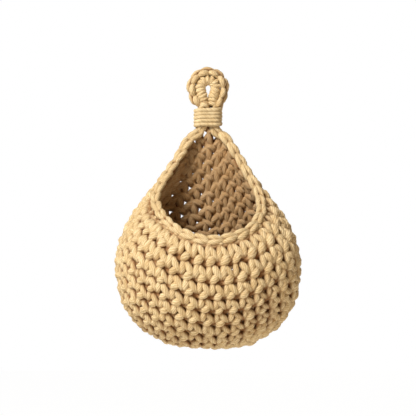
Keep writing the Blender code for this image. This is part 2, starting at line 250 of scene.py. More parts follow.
# The mouth's chain lies in front of the solids' edge. It faces forward, a share of it out
# of the fabric and a share into the mouth, evened out over a few steps of its path.
EDGE_LIFT = 0.0016
EDGE_FACING_share = 0.35
EDGE_INWARD_share = 0.15
INWARD_STEPS = 7
FACING_STEPS = 6

# The loop's chain faces out and forward alike. Its ends draw in above the binding.
LOOP_FACING_share = 0.50
LOOP_CHAIN_share = 1.14
LOOP_EDGE_TUCK = 0.0006
LOOP_END_TUCK = 0.0036
LOOP_END_REACH = 0.009

# The cord wrapped round the loop's core. On the right leg its turns lean up to the outside.
LOOP_WRAPS = 18
WRAP_CORD = 4.1
WRAP_LOOSE = 0.0010
WRAP_LEAN = 0.0016
WRAP_LEAN_REACH = 0.010
LEAST_LEAN_share = -0.2
WRAP_HAND = 0.00008

# A leaf of the cord across the loop's feet, from left to right: x, y, height above the
# feet, and how full the cord lies.
LEAF = (
    (-0.0070, 0.0005, -0.0030, 0.75), (-0.0062, -0.0042, -0.0008, 0.95),
    (-0.0038, -0.0056, 0.0020, 1.15), (-0.0012, -0.0052, 0.0014, 1.00),
    (0.0008, 0.0005, -0.0030, 0.75),
)
LEAF_PROUD = 0.002

# The binding's fine cord, twisted from two plies.
BINDING_PLIES = 2
BINDING_PLY_LAY = 0.0075
BINDING_FULL_share = 1.40
BINDING_SWELL = 0.10
BINDING_PROUD = 0.0038
BINDING_UNEVEN = 0.00012
UNEVEN_TURN = 0.25
UNEVEN_STEPS = 5
BINDING_DROOP = 0.0016

# The cord itself: the distance between rings of its mesh, its sides, its lay, and how much
# its strands swell. Real yarns are about 0.5 mm thick, too fine to show in the render, so
# each cord shows only this many round it, each 1.4 to 1.9 mm wide.
CORD_STEP = 0.0011
CORD_SIDES = 14
CORD_LAY = 0.021
CORD_SWELL = 0.07
CORD_STRANDS = 5
CORD_YARNS = 9
WRAP_YARNS = 7
BINDING_YARNS = 8

# A way that no cord starts along, from which its first side is found, and a length that
# keeps a division from failing where the net's points meet.
ASKEW = (0.31, 0.17, 0.93)
TINY = 1e-12

# Cotton. The patterns' scales are per metre: the yarns stray from their line about every
# 2.4 mm, the tone clouds over about 11 mm, and fuzz stands 0.6 mm apart, which is too fine
# to be seen and only breaks up the light. Streaks are two yarns wide and 14 mm long.
STRAY_SCALE = 420.0
STRAY_YARNS = 1.3
FUZZ_SCALE = 1600.0
FUZZ_share = 0.5
CLOUD_SCALE = 90.0
STREAK_STRETCH = (0.55, 0.07, 0.0)
STREAK_RANGE = (0.35, 0.62)
STREAK_share = 0.40
STREAK_HEIGHT = 2.0
LINE_WIDTH_share = 0.8
LINE_DEPTH_share = 0.60
YARN_RELIEF = 0.0006

# Painted shade: a deeper, warmer tone down between the loops stands in for their shade and for
# light thrown from cord to cord. It fades over this range of how far, in millimetres, a place
# stands out of the fabric's middle.
PAINTED_HOLLOW_SHADE_RANGE = (1.3, 4.3)
PAINTED_HOLLOW_SHADE_share = 0.82
# Painted shade on the pocket's inside, where proud is negative: a darker, warmer tone over this range
# stands in for the shade inside the pocket.
PAINTED_INSIDE_SHADE_RANGE = (-1.0, 1.0)
PAINTED_INSIDE_SHADE_share = 0.53

# Light, floor and camera. The world lights the basket less than it shows white behind it.
# A lamp has its name, place, power in watts, size and colour.
SOFT_LIGHT = "#FFD9A8"
WORLD_LIGHT = 0.12
LAMPS = (
    ("key", (-0.90, -1.07, 1.10), 47.0, 0.70, "#FFFBF3"),
    ("fill", (0.5, -1.6, 0.1), 2.8, 0.8, SOFT_LIGHT),
    ("back", (0.7, 1.7, 0.5), 15.0, 1.0, "#FFF6E8"),
)
LAMP_AIM_Y = -0.03
FLOOR_REACH = 1.2
FLOOR_Z = -0.30
FLOOR_WHITE_share = 0.97
SENSOR_WIDTH_MM = 36.0
CAMERA_DISTANCE = 3.0
FRAME_WIDTH = 0.3528
FRAME_Y = -0.025
FRAME_MIDDLE_Z = -0.1057


def up(height):
    """Z of a height above the basket's lowest point."""
    return height - EYE_TOP


def smooth(stations, values, at):
    """A smooth curve through the values at the stations, read at any places."""
    stations, values, at = (np.asarray(a, float) for a in (stations, values, at))
    slopes = np.gradient(values, stations)
    i = np.clip(np.searchsorted(stations, at) - 1, 0, len(stations) - 2)
    span = stations[i + 1] - stations[i]
    t = (at - stations[i]) / span
    return (
        (2 * t**3 - 3 * t**2 + 1) * values[i]
        + (t**3 - 2 * t**2 + t) * span * slopes[i]
        + (3 * t**2 - 2 * t**3) * values[i + 1]
        + (t**3 - t**2) * span * slopes[i + 1]
    )


def bend(before, here, after, beyond, t):
    """A smooth curve from here to after, read at shares t of the way."""
    return (
        here
        + (after - before) / 2 * t
        + (before - 2.5 * here + 2 * after - beyond / 2) * t**2
        + (1.5 * (here - after) + (beyond - before) / 2) * t**3
    )


def smooth_ring(points, count):
    """A smooth closed curve through the points, evenly divided between them."""
    points = np.asarray(points, float)
    t = np.arange(count) / count * len(points)
    i = np.floor(t).astype(int)
    t = (t - i)[:, None]
    return bend(*(points[(i + k) % len(points)] for k in (-1, 0, 1, 2)), t)


def lengths(points):
    """Length along a polyline at each of its points."""
    return np.r_[0, np.cumsum(np.linalg.norm(np.diff(points, axis=0), axis=1))]


def read_rows(at, stations, rows):
    """Rows of numbers, given at stations, read at any places between them."""
    return np.stack([np.interp(at, stations, lane) for lane in rows.T], axis=-1)


def even_ring(points, count):
    """Points at even lengths along a closed polyline."""
    closed = np.vstack([points, points[:1]])
    length = lengths(closed)
    at = np.linspace(0, length[-1], count, endpoint=False)
    return read_rows(at, length, closed)


def section(height):
    """Half width, and y of the front, the widest place and the back, at each height."""
    table = np.array(SECTION_shares)
    heights = FABRIC / 2 + table[:, 0] * (POCKET_HEIGHT - FABRIC / 2)
    height = np.clip(height, heights[0], heights[-1])
    half = smooth(heights, table[:, 1] * HALF_WIDTH, height)
    front, middle, back = (
        smooth(heights, BACK_Y - table[:, k] * DEPTH, height) for k in (2, 3, 4)
    )
    return half, front, middle, back


def inside_pocket(points):
    """Which points lie within the fabric's middle surface."""
    x, y, height = points[..., 0], points[..., 1], points[..., 2]
    half, front, middle, back = section(height)
    reach = np.where(y < middle, middle - front, back - middle)
    roundness = np.where(y < middle, FRONT_ROUNDNESS, BACK_ROUNDNESS)
    sideways = np.abs(x / half) ** roundness
    forward = np.abs((y - middle) / reach) ** roundness
    level = (height > FABRIC / 2) & (height < BINDING_TOP)
    return (sideways + forward < 1) & level


def place(shares):
    """Points from (sideways, forward, height) shares."""
    points = np.asarray(shares, float) * np.array([HALF_WIDTH, -DEPTH, POCKET_HEIGHT])
    points[..., 1] += BACK_Y
    return points


def directions(points):
    """Ways from the pocket's heart to points."""
    away = points - place(HEART_shares)
    return away / np.linalg.norm(away, axis=-1, keepdims=True)


def on_pocket(ways):
    """Where lines from the pocket's heart meet its middle surface."""
    heart = place(HEART_shares)
    near = np.zeros(ways.shape[:-1])
    far = np.full(ways.shape[:-1], POCKET_WIDTH + POCKET_HEIGHT)
    for _ in range(BISECTION_STEPS):
        half_way = (near + far) / 2
        inner = inside_pocket(heart + half_way[..., None] * ways)
        near = np.where(inner, half_way, near)
        far = np.where(inner, far, half_way)
    return heart + near[..., None] * ways


def mouth_curve():
    """Even points on the mouth's edge, from the neck clockwise."""
    return even_ring(smooth_ring(place(MOUTH_shares), 4 * RIM_STEPS), RIM_STEPS)


def smooth_line(points, count):
    """Evenly spaced points on a smooth open curve through the given points."""
    points = np.asarray(points, float)
    fine = np.linspace(0, lengths(points)[-1], FINE_STEPS * count)
    dense = np.stack([smooth(lengths(points), points[:, k], fine) for k in range(3)], axis=-1)
    at = np.linspace(0, lengths(dense)[-1], count)
    return read_rows(at, lengths(dense), dense)


def strap_x():
    """How far each strap stands from the neck's middle."""
    return (EDGE_CORD + GAP) / 2


def edge_line(rim, count):
    """Middle line of the edge round, from the neck's top down, round and up again."""
    free = rim[rim[:, 2] < BINDING_FOOT - STRAP_BEND_share * EDGE_CORD]
    side = free[:: RIM_STEPS // (2 * EDGE_STITCHES)]
    neck = []
    for height in np.linspace(BINDING_TOP, BINDING_FOOT, BINDING_TURNS):
        neck.append((strap_x(), 0.0, height))
    left = [(-x, y, height) for x, y, height in reversed(neck)]
    return smooth_line([*neck, *side, *left], count)


def loop_route(offset, count):
    """A line round the eye at a distance outside its edge, from foot to foot."""
    crown = EYE_WIDTH / 2 + LOOP_CORE / 2
    foot = (LOOP_CORE + GAP) / 2
    crown_height = EYE_TOP - EYE_WIDTH / 2
    leg = crown_height - LOOP_FOOT - SLIT_HEIGHT
    right = []
    for step in range(LOOP_STEPS + 1):
        angle = math.pi / 2 * step / LOOP_STEPS
        right.append((crown * math.sin(angle), crown_height + crown * math.cos(angle)))
    for step in range(1, LOOP_STEPS + 1):
        share = step / LOOP_STEPS
        ease = (1 - math.cos(math.pi * share)) / 2
        right.append((crown + (foot - crown) * ease, crown_height - leg * share))
    right.append((foot, LOOP_FOOT))
    left = [(-x, height) for x, height in reversed(right[1:])]
    core = [(x, 0.0, up(height)) for x, height in left + right]
    middle = smooth_line(core, FINE_STEPS * count)
    along = np.gradient(middle, axis=0)
    along /= np.linalg.norm(along, axis=1, keepdims=True)
    along[0] = (0, 0, 1)
    along[-1] = (0, 0, -1)
    outward = np.stack([-along[:, 2], along[:, 1], along[:, 0]], axis=-1)
    return smooth_line(middle + outward * (offset - LOOP_CORE / 2), count)


def fabric_form(rim):
    """Meridians of the fabric: [step from the first stitch to the mouth][place round it]."""
    start = np.repeat(directions(place(START_shares))[None], RIM_STEPS, axis=0)
    low = directions(smooth_ring(place(LOW_ROUND_shares), RIM_STEPS))
    high = directions(smooth_ring(place(HIGH_ROUND_shares), RIM_STEPS))
    ways = np.stack([start, low, high, directions(rim)])
    knots = np.array([0, LOW_ROUND, HIGH_ROUND, ROUNDS])
    at = np.linspace(0, ROUNDS, MERIDIAN_STEPS)
    lines = np.empty((MERIDIAN_STEPS, RIM_STEPS, 3))
    for column in range(RIM_STEPS):
        for axis in range(3):
            lines[:, column, axis] = smooth(knots, ways[:, column, axis], at)
    lines /= np.linalg.norm(lines, axis=-1, keepdims=True)
    form = on_pocket(lines)
    share = np.clip((at - HIGH_ROUND) / (ROUNDS - HIGH_ROUND), 0, 1) ** 2
    return form + share[:, None, None] * (rim - form[-1])


def tree_of(points):
    """A tree that finds which of the points is nearest to a place."""
    tree = KDTree(len(points))
    for i, point in enumerate(points):
        tree.insert(point, i)
    tree.balance()
    return tree


def fabric_net(rim):
    """The form's net of points, cut off where the fabric meets the edge round, and its normals."""
    form = fabric_form(rim)
    tree = tree_of(rim)
    neck = np.clip((rim[:, 2] - NECK_OPEN) / (BINDING_FOOT - NECK_OPEN), 0, 1)
    clear = EDGE_CORD * (EDGE_TUCK_share + (NECK_TUCK_share - EDGE_TUCK_share) * neck)
    steps = np.arange(MERIDIAN_STEPS)
    low = round((MERIDIAN_STEPS - 1) * LOW_ROUND / ROUNDS)
    net = np.empty_like(form)
    for column in range(RIM_STEPS):
        # Each line ends where it runs out of room beside the edge round or in the binding.
        line = form[:, column]
        room = np.array([tree.find(point)[2] for point in line]) - clear[column]
        room = np.minimum(room, BINDING_FOOT + NECK_INTO_BINDING - line[:, 2])
        beyond = np.argmax(room < 0)
        share = room[beyond - 1] / (room[beyond - 1] - room[beyond])
        at = np.linspace(0, beyond - 1 + share, MERIDIAN_STEPS)
        # Its steps are made more even up to the low round, and above it only behind.
        behind = 1 - math.sin(math.pi * column / RIM_STEPS) ** 2
        halves = ((slice(0, low + 1), EVEN_share), (slice(low, None), EVEN_share * behind))
        for part, evenness in halves:
            run = np.interp(at[part], steps, lengths(line))
            even = np.interp(np.linspace(run[0], run[-1], len(run)), run, at[part])
            at[part] += evenness * (even - at[part])
        net[:, column] = read_rows(at, steps, line)
    along = np.roll(net, -1, axis=1) - np.roll(net, 1, axis=1)
    normals = np.cross(along, np.gradient(net, axis=0))
    normals /= np.linalg.norm(normals, axis=-1, keepdims=True) + TINY
    outward = np.sign(np.sum(normals[MERIDIAN_STEPS // 2] * directions(net[MERIDIAN_STEPS // 2])))
    return net, normals * outward


def last_rounds():
    """The round that meets the edge, at each place round the mouth."""
    return smooth_ring(np.array(LAST_ROUNDS, float)[:, None], RIM_STEPS)[:, 0]


def cut_rounds(net, last):
    """The net with its rounds spread wider behind, so that the last of them end at the edge."""
    steps = np.arange(MERIDIAN_STEPS)
    row = steps * ROUNDS / (MERIDIAN_STEPS - 1)
    low = (MERIDIAN_STEPS - 1) * LOW_ROUND / ROUNDS
    cut = np.empty_like(net)
    for column in range(RIM_STEPS):
        share = np.clip((row - LOW_ROUND) / (last[column] - LOW_ROUND), 0, 1)
        at = np.where(row < LOW_ROUND, steps, low + share * (MERIDIAN_STEPS - 1 - low))
        cut[:, column] = read_rows(at, steps, net[:, column])
    return cut


def read_net(net, turn, row):
    """Values of a net at shares of a turn and at rounds. Past the last round it runs straight on."""
    steps = (MERIDIAN_STEPS - 1) / ROUNDS
    at = np.clip(row, 0, ROUNDS) * steps
    i = np.minimum(at.astype(int), MERIDIAN_STEPS - 2)
    beyond = np.maximum(row - ROUNDS, 0) * steps
    t = (at - i + beyond)[:, None]
    around = (turn % 1) * RIM_STEPS
    j = around.astype(int) % RIM_STEPS
    s = (around - np.floor(around))[:, None]
    after = (j + 1) % RIM_STEPS
    low = net[i, j] * (1 - s) + net[i, after] * s
    high = net[i + 1, j] * (1 - s) + net[i + 1, after] * s
    return low * (1 - t) + high * t


def through(points, closed):
    """A smooth line through rows of numbers, with CURVE_STEPS stretches from each to the next."""
    count = len(points)
    if closed:
        here = np.arange(count)
        before, after, beyond = (here - 1) % count, (here + 1) % count, (here + 2) % count
    else:
        here = np.arange(count - 1)
        before, after = np.maximum(here - 1, 0), here + 1
        beyond = np.minimum(here + 2, count - 1)
    four = [points[which] for which in (before, here, after, beyond)]
    parts = [bend(*four, step / CURVE_STEPS) for step in range(CURVE_STEPS)]
    line = np.stack(parts, axis=1).reshape(-1, points.shape[1])
    return line if closed else np.vstack([line, points[-1:]])


def even_line(line, step, closed):
    """The line's rows at even lengths of about a step, and the whole length."""
    if closed:
        line = np.vstack([line, line[:1]])
    length = lengths(line[:, :3])
    count = int(round(length[-1] / step))
    at = np.linspace(0, length[-1], count + (not closed), endpoint=not closed)
    return read_rows(at, length, line), length[-1]


def side_ways(line, closed):
    """Two directions square to a line at each point, which turn with it and don't twist."""
    if closed:
        along = np.roll(line, -1, axis=0) - np.roll(line, 1, axis=0)
    else:
        along = np.gradient(line, axis=0)
    along /= np.linalg.norm(along, axis=1, keepdims=True)
    first = np.empty_like(line)
    side = np.cross(along[0], ASKEW)
    for i, way in enumerate(along):
        side = side - way * np.dot(side, way)
        side /= np.linalg.norm(side)
        first[i] = side
    second = np.cross(along, first)
    if closed:
        side = side - along[0] * np.dot(side, along[0])
        off = math.atan2(np.dot(side, second[0]), np.dot(side, first[0]))
        turn = -off * np.arange(len(line))[:, None] / len(line)
        first, second = (
            np.cos(turn) * first + np.sin(turn) * second,
            np.cos(turn) * second - np.sin(turn) * first,
        )
    return first, second


def cord_mesh(
    name, line, cord, closed, yarns, lay=CORD_LAY, swell=CORD_SWELL, strands=CORD_STRANDS
):
    """A laid cord along a line. The line's rows are x, y, z, how full the cord is there, the
    way out of the fabric and how far out the line lies.

    The map of its yarns gives, across, which yarn a place lies on and, along, how far on it
    is, in millimetres. Its "proud" values give how far each place stands out of the fabric's
    middle, in millimetres. On the closed rounds of the pocket they are negative inside."""
    line, length = even_line(line, CORD_STEP, closed)
    first, second = side_ways(line[:, :3], closed)
    rings = len(line)
    turns = max(1, round(length / lay)) if closed else length / lay
    run = np.arange(rings + 1) / (rings if closed else rings - 1)
    angle = np.arange(CORD_SIDES) / CORD_SIDES * 2 * math.pi
    strand = np.cos(strands * (angle[None] - 2 * math.pi * turns * run[:rings, None]))
    radius = cord / 2 * line[:, 3:4] * (1 + swell * strand)
    points = (
        line[:, None, :3]
        + (radius * np.cos(angle))[..., None] * first[:, None]
        + (radius * np.sin(angle))[..., None] * second[:, None]
    )
    reach = points - line[:, None, :3]
    proud = (line[:, 7:8] + np.sum(reach * line[:, None, 4:7], axis=2)) / MM
    if not closed:
        proud = np.abs(proud)
    bands = rings if closed else rings - 1
    ring = np.repeat(np.arange(bands), CORD_SIDES)
    side = np.tile(np.arange(CORD_SIDES), bands)
    next_ring, next_side = (ring + 1) % rings, (side + 1) % CORD_SIDES
    corners = ((ring, side), (ring, next_side), (next_ring, next_side), (next_ring, side))
    faces = np.stack([at_ring * CORD_SIDES + at_side for at_ring, at_side in corners], axis=1)
    across = np.stack([side, side + 1, side + 1, side], axis=1) / CORD_SIDES
    lengthways = np.stack([run[ring], run[ring], run[ring + 1], run[ring + 1]], axis=1)
    u = yarns * (across - turns * lengthways)
    v = lengthways * length / MM
    faces = faces.tolist()
    if not closed:
        faces.append(list(range(CORD_SIDES))[::-1])
        faces.append(list(range((rings - 1) * CORD_SIDES, rings * CORD_SIDES)))
    mesh = bpy.data.meshes.new(name)
    mesh.from_pydata(points.reshape(-1, 3).tolist(), [], faces)
    uv = np.zeros((len(mesh.loops), 2), np.float32)
    uv[: u.size, 0], uv[: u.size, 1] = u.ravel(), v.ravel()
    mesh.uv_layers.new(name="Yarns").data.foreach_set("uv", uv.ravel())
    mesh.attributes.new("proud", "FLOAT", "POINT").data.foreach_set("value", proud.ravel())
    mesh.shade_smooth()
    return mesh


def show(mesh, look, slot, *nodes):
    """A piece of the basket, in place of the named solids. It takes its mesh's name."""
    piece = bpy.data.objects.new(mesh.name, mesh)
    bpy.context.scene.collection.objects.link(piece)
    mesh.materials.append(look)
    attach(piece, "root")
    if nodes:
        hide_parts(*nodes)


def flatten_on_wall(mesh):
    """The back lies soft against the wall: what would reach past it is pressed flat."""
    places = np.empty(len(mesh.vertices) * 3, np.float32)
    mesh.vertices.foreach_get("co", places)
    places = places.reshape(-1, 3)
    over = np.maximum(places[:, 1] - (WALL_Y - PRESS_DEPTH), 0)
    places[:, 1] = np.minimum(places[:, 1], WALL_Y - PRESS_DEPTH) + PRESS_DEPTH * (
        1 - np.exp(-over / PRESS_DEPTH)
    )
    mesh.vertices.foreach_set("co", places.ravel())
    mesh.update()


def last_stitch():
    """A stitch of the last round: its legs are tall, and its top lies flat under the edge."""
    stitch = np.array(STITCH)
    stitch[:, 1] *= LAST_TALL_share
    top = (stitch[:, 1] > LAST_TOP) & (stitch[:, 2] > LAST_DEEP)
    stitch[top, 2] = np.maximum(stitch[top, 2], UNDER_EDGE)
    knob = stitch[:, 1] > KNOB_FROM
    stitch[knob, 2] = np.minimum(stitch[knob, 2], UNDER_EDGE)
    stitch[knob, 1] = KNOB_FROM + (stitch[knob, 1] - KNOB_FROM) * UNDER_EDGE_share
    return stitch


def stitch_size(net, number, i, stitches):
    """How large a stitch comes out, as a share, where the net gives it more or less room."""
    middle = -np.array([i + 0.5 + STITCH_LEAN * (number + 0.5)]) / stitches
    level = np.array([number + 0.5])
    half = 0.5 / stitches
    width = np.linalg.norm(
        read_net(net, middle + half, level) - read_net(net, middle - half, level)
    )
    height = np.linalg.norm(
        read_net(net, middle, level + 0.5) - read_net(net, middle, level - 0.5)
    )
    size = math.sqrt(width * height / (STITCH_WIDTH * ROUND_HEIGHT)) / MM
    return min(max(size, LEAST_SIZE), MOST_SIZE)


def make_round(number, stitches, net, normals, last, look, chance):
    """One round of single crochet, as one closed cord."""
    stitch = last_stitch() if number == ROUNDS - 1 else np.array(STITCH)
    rows = []
    for i in range(stitches):
        moved = stitch.copy()
        moved[:, :3] += chance.normal(0, HAND / MM, 3) * HAND_shares
        moved[:, 3] *= 1 + FULL_HAND_share * chance.normal()
        row = np.maximum(number + moved[:, 1] / ROUND_HEIGHT, START_ROW)
        turn = -(i + moved[:, 0] / STITCH_WIDTH + STITCH_LEAN * row) / stitches
        points = read_net(net, turn, row)
        slim = np.clip((points[:, 2:3] - NECK_START) / (BINDING_FOOT - NECK_START), 0, 1)
        size = stitch_size(net, number, i, stitches) * (1 - NECK_SLIM_share * slim)
        out = read_net(normals, turn, row)
        out /= np.linalg.norm(out, axis=1, keepdims=True)
        # Past the edge of a short round the cord lies down thin.
        ends = np.interp((turn % 1) * RIM_STEPS, np.arange(RIM_STEPS), last)
        short = ends < ROUNDS - SHORT_ROUND
        ended = np.where(short, np.clip((row - ends) / END_ROWS, 0, 1), 0)[:, None]
        size = size * (1 - END_THIN_share * ended)
        lift = (moved[:, 2:3] * STITCH_RELIEF * MM) * size * (1 - ended) - FABRIC_SINK
        behind = np.maximum(np.cos(2 * math.pi * (turn - OPEN_TURN)), 0)[:, None] ** 2
        full = moved[:, 3:4] * size * (1 - OPEN_share * behind)
        rows.append(np.hstack([points + lift * out, full, out, lift + END_PROUD * MM * ended]))
    line = through(np.vstack(rows), closed=True)
    line[:, 2] = up(line[:, 2])
    mesh = cord_mesh(f"pocket_round_{number + 1:02d}", line, CORD * MM, True, CORD_YARNS)
    flatten_on_wall(mesh)
    show(mesh, look, "cotton_cord", "pocket")


def chain_line(path, facing, chain, stitches, cord, share, chance):
    """The cord's line of a chain that lies along a path, each V opening to the path's end."""
    length = lengths(path)
    slopes = np.gradient(path, axis=0)
    rows = []
    for i in range(stitches):
        stitch = np.array(chain)
        stitch[:, 1:3] *= share
        stitch[:, 1:3] += chance.normal(0, CHAIN_HAND * share, 2)
        stitch[:, 0] += chance.normal(0, CHAIN_ALONG_HAND_share)
        stitch[:, 3] *= cord * MM * (1 + CHAIN_FULL_HAND_share * chance.normal())
        at = np.clip(length[-1] * (i + stitch[:, 0]) / stitches, 0, length[-1])
        point, out, ahead = (read_rows(at, length, lane) for lane in (path, facing, slopes))
        along = np.sum(out * ahead, axis=1, keepdims=True)
        out -= ahead * along / np.sum(ahead * ahead, axis=1, keepdims=True)
        out /= np.linalg.norm(out, axis=1, keepdims=True)
        aside = np.cross(ahead, out)
        aside /= np.linalg.norm(aside, axis=1, keepdims=True)
        offset = (stitch[:, 1:2] * aside + stitch[:, 2:3] * out) * MM
        reach = np.maximum(np.linalg.norm(offset, axis=1, keepdims=True), LEAST_REACH * MM)
        proud = reach + CHAIN_PROUD * MM
        rows.append(np.hstack([point + offset, stitch[:, 3:4], offset / reach, proud]))
    return through(np.vstack(rows), closed=False)


def steady(values, reach):
    """Directions along a path, each evened out over its neighbours within a reach."""
    padded = np.vstack([values[:1].repeat(reach, 0), values, values[-1:].repeat(reach, 0)])
    total = sum(padded[i : i + len(values)] for i in range(2 * reach + 1))
    return total / np.linalg.norm(total, axis=1, keepdims=True)


def make_edge(rim, net, normals, look, chance):
    """The braided edge of the mouth: a chain that faces forward and a little into the mouth."""
    path = edge_line(rim, CHAIN_STEPS * EDGE_CHAINS)
    tree = tree_of(rim)
    inward = net[-1] - net[-1 - INWARD_STEPS]
    inward /= np.linalg.norm(inward, axis=1, keepdims=True)
    nearest = [tree.find(point)[1] for point in path]
    out = EDGE_FACING_share * normals[-1][nearest] + EDGE_INWARD_share * inward[nearest]
    neck = np.clip((path[:, 2] - NECK_START) / (BINDING_FOOT - NECK_START), 0, 1)[:, None]
    facing = out * (1 - neck) + FRONT * (1 - EDGE_FACING_share + neck)
    facing = steady(facing, FACING_STEPS)
    path = path + FRONT * EDGE_LIFT * (1 - neck)
    line = chain_line(path, facing, CHAIN, EDGE_CHAINS, CHAIN_CORD, 1.0, chance)
    line[:, 2] = up(line[:, 2])
    mesh = cord_mesh("rim_edging_chain", line, 1.0, False, CORD_YARNS)
    show(mesh, look, "cotton_cord", "rim_edging")


def along_path(path):
    """Ways along a path at each of its points."""
    along = np.gradient(path, axis=0)
    return along / np.linalg.norm(along, axis=1, keepdims=True)


def wrap_line(chance):
    """Cord wound round the loop's core. On the right leg the turns lean up to the outside."""
    count = TURN_STEPS * LOOP_WRAPS
    path = loop_route(LOOP_CORE / 2, count)
    length = lengths(path)
    turn = -np.linspace(0, LOOP_WRAPS * 2 * math.pi, count)
    lean = WRAP_LEAN * np.clip(path[:, 0] / WRAP_LEAN_REACH, LEAST_LEAN_share, 1)
    at = length + lean * np.sin(turn) + chance.normal(0, WRAP_HAND, count)
    path, along = (read_rows(at, length, lane) for lane in (path, along_path(path)))
    front = np.tile(FRONT, (count, 1))
    outward = np.cross(front, along)
    way = np.cos(turn)[:, None] * front + np.sin(turn)[:, None] * outward
    radius = (LOOP_CORE - WRAP_CORD * MM) / 2 + WRAP_LOOSE
    spots = np.arange(0, count, TURN_STEPS // 2)
    full = 1 + FULL_HAND_share * np.interp(np.arange(count), spots, chance.normal(size=len(spots)))
    return np.hstack([path + radius * way, full[:, None], way, np.full((count, 1), radius)])


def make_loop(look, chance):
    """The hanging loop: cord wrapped round a core, a chain along its outside, and one leaf of
    the cord across the feet."""
    mesh = cord_mesh("loop_wrapped_core", wrap_line(chance), WRAP_CORD * MM, False, WRAP_YARNS)
    show(mesh, look, "cotton_cord", "loop_core")
    path = loop_route(LOOP_CORE + GAP + LOOP_EDGE / 2 - LOOP_EDGE_TUCK, TURN_STEPS * LOOP_CHAINS)
    foot = np.clip(1 - (path[:, 2] - up(LOOP_FOOT)) / LOOP_END_REACH, 0, 1) ** 2
    path[:, 0] -= np.sign(path[:, 0]) * LOOP_END_TUCK * foot
    front = np.tile(FRONT, (len(path), 1))
    outward = np.cross(front, along_path(path))
    facing = LOOP_FACING_share * outward + (1 - LOOP_FACING_share) * front
    facing /= np.linalg.norm(facing, axis=1, keepdims=True)
    line = chain_line(path, facing, LOOP_CHAIN, LOOP_CHAINS, CHAIN_CORD, LOOP_CHAIN_share, chance)
    mesh = cord_mesh("loop_edge_chain", line, 1.0, False, CORD_YARNS)
    show(mesh, look, "cotton_cord", "loop_edging")
    leaf = np.array(LEAF)
    leaf[:, 2] = up(LOOP_FOOT) + leaf[:, 2]
    way = np.tile((*FRONT, LEAF_PROUD), (len(leaf), 1))
    line = through(np.hstack([leaf, way]), closed=False)
    mesh = cord_mesh("loop_foot_leaf", line, CHAIN_CORD * MM, False, CORD_YARNS)
    show(mesh, look, "cotton_cord")


def binding_route(chance):
    """The turns of the binding, from the back of the neck's foot up to its top. They lie a
    little unevenly, and the lowest droops to the right."""
    count = BINDING_TURNS * TURN_STEPS
    turn = (np.arange(count) + 0.5) / TURN_STEPS
    spots = np.arange(0, BINDING_TURNS + 2 * UNEVEN_TURN, UNEVEN_TURN)
    uneven = np.interp(turn, spots, chance.normal(size=len(spots)))
    radius = EDGE_CORD / 2 + GAP + BINDING_CORD / 2 + BINDING_UNEVEN * uneven
    angle = 2 * math.pi * turn + math.pi / 2
    x = np.copysign(strap_x(), np.cos(angle)) + radius * np.cos(angle)
    y = radius * np.sin(angle)
    droop = BINDING_DROOP * np.clip(1 - turn, 0, 1) * np.clip(x / strap_x() / 2, 0, 1)
    height = BINDING_FOOT + BINDING_CORD / 4 + BINDING_PITCH * turn - droop
    return np.stack([x, y, up(height) + BINDING_UNEVEN * np.roll(uneven, UNEVEN_STEPS)], axis=1)


def make_binding(look, chance):
    """Five turns of fine cord, tight against each other."""
    route = binding_route(chance)
    count = len(route)
    way = route * (1.0, 1.0, 0.0)
    way /= np.linalg.norm(way, axis=1, keepdims=True)
    rows = np.hstack([route, np.ones((count, 1)), way, np.full((count, 1), BINDING_PROUD)])
    mesh = cord_mesh(
        "neck_binding_turns",
        through(rows, closed=False),
        BINDING_FULL_share * BINDING_CORD,
        False,
        BINDING_YARNS,
        lay=BINDING_PLY_LAY,
        swell=BINDING_SWELL,
        strands=BINDING_PLIES,
    )
    show(mesh, look, "fine_twisted_cord", "neck_binding")


def linear(hex_colour):
    """Linear RGBA from an sRGB hex value."""
    parts = [int(hex_colour[i : i + 2], 16) / 255 for i in (1, 3, 5)]
    return (*[p / 12.92 if p <= 0.04045 else ((p + 0.055) / 1.055) ** 2.4 for p in parts], 1.0)


def node(tree, kind, settings=None, links=None):
    """Adds a node with its settings and links: an input takes a value or another node's output."""
    new = tree.nodes.new(kind)
    for name, value in (settings or {}).items():
        setattr(new, name, value)
    for name, value in (links or {}).items():
        socket = new.inputs[name]
        if isinstance(value, bpy.types.NodeSocket):
            tree.links.new(value, socket)
        else:
            socket.default_value = value
    return new


def yarn_pattern(tree, place):
    """How near a place is to the ridge of its yarn, and streaks along the yarns."""
    yarns = node(tree, "ShaderNodeUVMap", {"uv_map": "Yarns"}).outputs[0]
    parts = node(tree, "ShaderNodeSeparateXYZ", links={0: yarns}).outputs
    stray = node(
        tree, "ShaderNodeTexNoise", None, {"Vector": place, "Scale": STRAY_SCALE, "Detail": 1.0}
    ).outputs[0]
    strayed = node(
        tree,
        "ShaderNodeMath",
        {"operation": "MULTIPLY_ADD"},
        {0: stray, 1: STRAY_YARNS, 2: parts["X"]},
    ).outputs[0]
    share = node(tree, "ShaderNodeMath", {"operation": "FRACT"}, {0: strayed}).outputs[0]
    half = node(tree, "ShaderNodeMath", {"operation": "MULTIPLY"}, {0: share, 1: math.pi}).outputs[0]
    ridge = node(tree, "ShaderNodeMath", {"operation": "SINE"}, {0: half}).outputs[0]
    stretched = node(
        tree, "ShaderNodeVectorMath", {"operation": "MULTIPLY"}, {0: yarns, 1: STREAK_STRETCH}
    ).outputs[0]
    streaks = node(
        tree, "ShaderNodeTexNoise", None, {"Vector": stretched, "Scale": 1.0, "Detail": 1.0}
    ).outputs[0]
    return ridge, streaks


